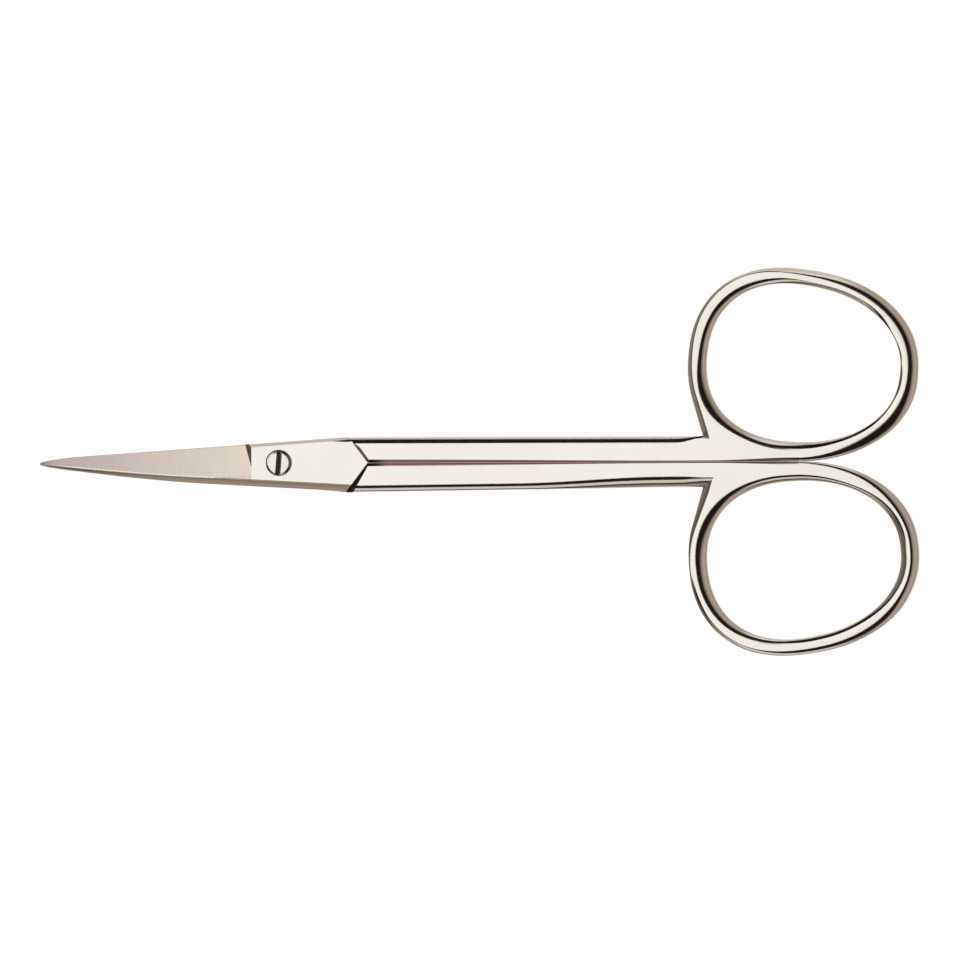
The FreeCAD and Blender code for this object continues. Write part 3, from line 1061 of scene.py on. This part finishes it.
def groove_shade(end_x):
    """Painted shade of the closing edges, nearly black at the joint and fading out where the bows begin."""
    metal = Metal("groove_shade")
    reach = metal.wandering_x(metal.noise((0.2, 1, 1), STAIN_SCALE), 0.5)
    along = metal.remap(reach, (PLATE_END_X * MM, end_x * MM), (0.0, 1.0))
    # Painted shade and painted red-brown reflections of the closing gap, passing into plain metal at the bow.
    tone = metal.ramp(along, [
        (0.0, (0.03, 0.02, 0.016)), (0.018, (0.06, 0.04, 0.03)), (0.045, (0.66, 0.44, 0.36)),
        (0.25, (0.60, 0.38, 0.32)), (0.52, (0.42, 0.21, 0.18)), (GROOVE_SHADE_END, (0.34, 0.23, 0.19)),
        (1.0, (0.66, 0.56, 0.47)),
    ])
    return metal.finish(tone, metal.remap(along, (GROOVE_SHADE_END, 1.0), (0.33, 0.12)))


def joint_steel_gap_shade():
    """Steel of the faces that lap in the joint, with painted shade that turns it black along the shoulder."""
    metal = Metal("joint_steel_gap_shade")
    cloud = metal.noise(EVEN, STAIN_SCALE)
    # Painted shade of the gap between the halves, darkening towards the shoulder.
    shade_start, shade_full = ((PLATE_END_X - reach) * MM for reach in SHOULDER_SHADE_REACHES)
    shoulder_shade = metal.remap(metal.wandering_x(cloud, 0.4), (shade_start, shade_full), (0.0, 1.0))
    tone = metal.ramp(shoulder_shade, [(0.0, (0.34, 0.315, 0.29)), (1.0, (0.045, 0.035, 0.03))])
    return metal.finish(tone, metal.remap(cloud, NOISE_SPAN, (0.36, 0.52)))


def paint_half(piece, handle, lap_height, materials):
    """Nickel, ground steel on the blade, painted shade on joint, crease, ricasso wall and closing edges."""
    piece.data.materials.clear()
    for material in materials:
        piece.data.materials.append(material)
    nickel, ground, joint, ricasso, groove, crease = range(6)
    ground_slope = math.cos(math.radians(GRIND_ANGLE + GRIND_SLACK))
    bore_reach = HEAD_RADIUS + HEAD_CLEARANCE + max(HEAD_OFFSET) + FACE_TOLERANCE
    for face in piece.data.polygons:
        x, y, z = face.center / MM
        slope = abs(face.normal.z)
        on_blade = x < RICASSO_X
        on_lap = slope > LEVEL_SLOPE and abs(z - lap_height) < FACE_TOLERANCE
        on_strip = slope > STRIP_SLOPE and not on_lap and x < RICASSO_X - STRIP_END
        off_spine = on_lap or face.normal.y * handle.half.side > SPINE_LEAN
        in_bore = math.hypot(x - PIVOT_X, y) < bore_reach and abs(z - PLATE_TOP) > FACE_TOLERANCE
        in_groove = PLATE_END_X < x < handle.low_x and abs(y) < CLOSING_Y + handle.closing_rim(x)[0]
        above_plate = abs(z - THICKNESS / 2) > PLATE_TOP - THICKNESS / 2
        face.material_index = nickel
        # The ricasso wall gets a dark colour of painted shade.
        if on_blade and face.normal.x < RICASSO_LEAN and x > RICASSO_X - RICASSO_DEPTH:
            face.material_index = ricasso
        elif on_blade and slope > ground_slope and not on_strip and off_spine:
            face.material_index = ground
        # The joint colour is painted shade: black along the shoulder on the lap faces, and dark round the
        # screw head in the counterbore.
        elif on_lap or in_bore:
            face.material_index = joint
        # Painted shade and painted red-brown reflections on the rounded closing edges.
        elif in_groove and WALL_SLOPE < slope < FLAT_SLOPE:
            face.material_index = groove
        # Painted shade in the crease.
        elif above_plate and face.normal.x < CREASE_LEAN and x < PLATE_END_X + CREASE_RUN:
            face.material_index = crease


def paint_screw(piece, nickel, slot):
    """Nickel all over, and dull metal with painted shade on the slot's floor and every upright wall."""
    piece.data.materials.clear()
    for material in (nickel, slot):
        piece.data.materials.append(material)
    floor = (PLATE_TOP - SLOT_DEPTH) * MM
    for face in piece.data.polygons:
        on_floor = abs(face.center.z - floor) < SLOT_TOLERANCE * MM
        face.material_index = 1 if on_floor or abs(face.normal.z) < WALL_SLOPE else 0


def add_floor():
    """Large white floor that keeps a faint shadow."""
    mesh = bpy.data.meshes.new("floor")
    corners = [(x * FLOOR_REACH, y * FLOOR_REACH, 0) for x, y in ((-1, -1), (1, -1), (1, 1), (-1, 1))]
    mesh.from_pydata(corners, [], [(0, 1, 2, 3)])
    floor = bpy.data.objects.new("floor", mesh)
    floor.location.z = -FLOOR_DROP * MM
    bpy.context.scene.collection.objects.link(floor)
    material = bpy.data.materials.new("white_floor")
    graph = Graph(material)
    graph.nodes.remove(graph.nodes["Principled BSDF"])
    glow = graph.add("Emission")
    glow.inputs["Strength"].default_value = FLOOR_GLOW
    seen = graph.add("AddShader")
    graph.feed(seen.inputs[0], graph.matt(SEEN_FLOOR_GREY))
    graph.feed(seen.inputs[1], glow.outputs["Emission"])
    path = graph.add("LightPath")
    shown = graph.combine("MAXIMUM", path.outputs["Is Camera Ray"], path.outputs["Is Glossy Ray"])
    shown = graph.combine("MAXIMUM", shown, path.outputs["Is Transmission Ray"])
    choice = graph.add("MixShader")
    graph.feed(choice.inputs["Fac"], shown)
    graph.feed(choice.inputs[1], graph.matt(FLOOR_GREY))
    graph.feed(choice.inputs[2], seen.outputs["Shader"])
    graph.feed(graph.nodes["Material Output"].inputs["Surface"], choice.outputs["Shader"])
    mesh.materials.append(material)


def light_studio():
    """Studio round the tool: a softbox in a dark ceiling, reaching out over the blades, and paler walls."""
    world = bpy.data.worlds.new("studio")
    bpy.context.scene.world = world
    sky = Graph(world)
    x, y, height = sky.place("Generated")
    up = sky.combine("MAXIMUM", height, LEAST_DIVISOR)
    along = sky.combine("DIVIDE", x, up)
    across = sky.combine("DIVIDE", y, up)
    level = sky.combine("SUBTRACT", 1.0, sky.combine("MULTIPLY", height, height))
    level = sky.combine("MAXIMUM", sky.combine("SQRT", level, 0.0), LEAST_DIVISOR)
    facing_x = sky.combine("DIVIDE", x, level)
    facing_y = sky.combine("DIVIDE", y, level)
    room = sky.ramp(height, RIGHT_WALL)
    for facing, span, wall in ((facing_x, LEFT_WALL_SPAN, LEFT_WALL), (facing_y, BACK_WALL_SPAN, BACK_WALL),
                               (facing_y, FRONT_WALL_SPAN, FRONT_WALL)):
        room = sky.blend(sky.soften(facing, *span), room, sky.ramp(height, wall))
    slanted = sky.combine("ADD", along, sky.combine("MULTIPLY", across, CEILING_SLANT))
    room = sky.blend(sky.box_share(slanted, across, CEILING), room, CEILING_BLACK)
    room = sky.blend(sky.soften(height, *SKIRTING_SPAN), room, SKIRTING_WHITE)
    room = sky.blend(sky.box_share(along, across, SOFTBOX), room, SOFTBOX_WHITE)
    sky.feed(sky.nodes["Background"].inputs["Color"], room)


def aim_camera():
    """Camera straight above, framed as the photograph."""
    camera = bpy.data.cameras.new("camera")
    camera.sensor_width = SENSOR_WIDTH
    camera.lens = LENS
    distance = PICTURE_WIDTH * LENS / SENSOR_WIDTH
    holder = bpy.data.objects.new("camera", camera)
    holder.location = Vector((*PICTURE_MIDDLE, FOCUS_HEIGHT + distance)) * MM
    holder.rotation_euler.z = math.radians(CAMERA_ROLL)
    bpy.context.scene.collection.objects.link(holder)
    bpy.context.scene.camera = holder


upper_handle = Handle(UPPER)
lower_handle = Handle(LOWER)
finishes_and_shades = [
    polished_nickel(), ground_steel_tip_shade(), joint_steel_gap_shade(),
    # Painted shade on the ricasso wall: a dark colour on a dull finish.
    dull_steel_with_shade("ricasso_shade", (0.17, 0.135, 0.113), (0.26, 0.21, 0.178), 0.40),
    groove_shade(upper_handle.low_x),
    # Painted shade in the crease, a dull dark brown.
    dull_steel_with_shade("crease_shade", (0.36, 0.26, 0.235), (0.50, 0.38, 0.345), 0.40),
]

upper = make_upper_half(upper_handle)
finish_mesh(upper)
paint_half(upper, upper_handle, PLATE_BASE, finishes_and_shades)
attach(upper, "upper_side")
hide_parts("upper_half")

lower = make_lower_half(lower_handle)
finish_mesh(lower)
paint_half(lower, lower_handle, THICKNESS - PLATE_BASE, finishes_and_shades)
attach(lower, "lower_side")
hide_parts("lower_half")

screw = make_screw()
finish_mesh(screw)
# Painted shade in the screw's slot and on its upright walls.
paint_screw(screw, screw_nickel(), dull_steel_with_shade("slot_shade", (0.06, 0.055, 0.05), (0.12, 0.11, 0.10), 0.50))
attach(screw, "lower_side")
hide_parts("pivot_screw")

add_floor()
light_studio()
aim_camera()
bpy.context.scene.view_settings.view_transform = "Standard"
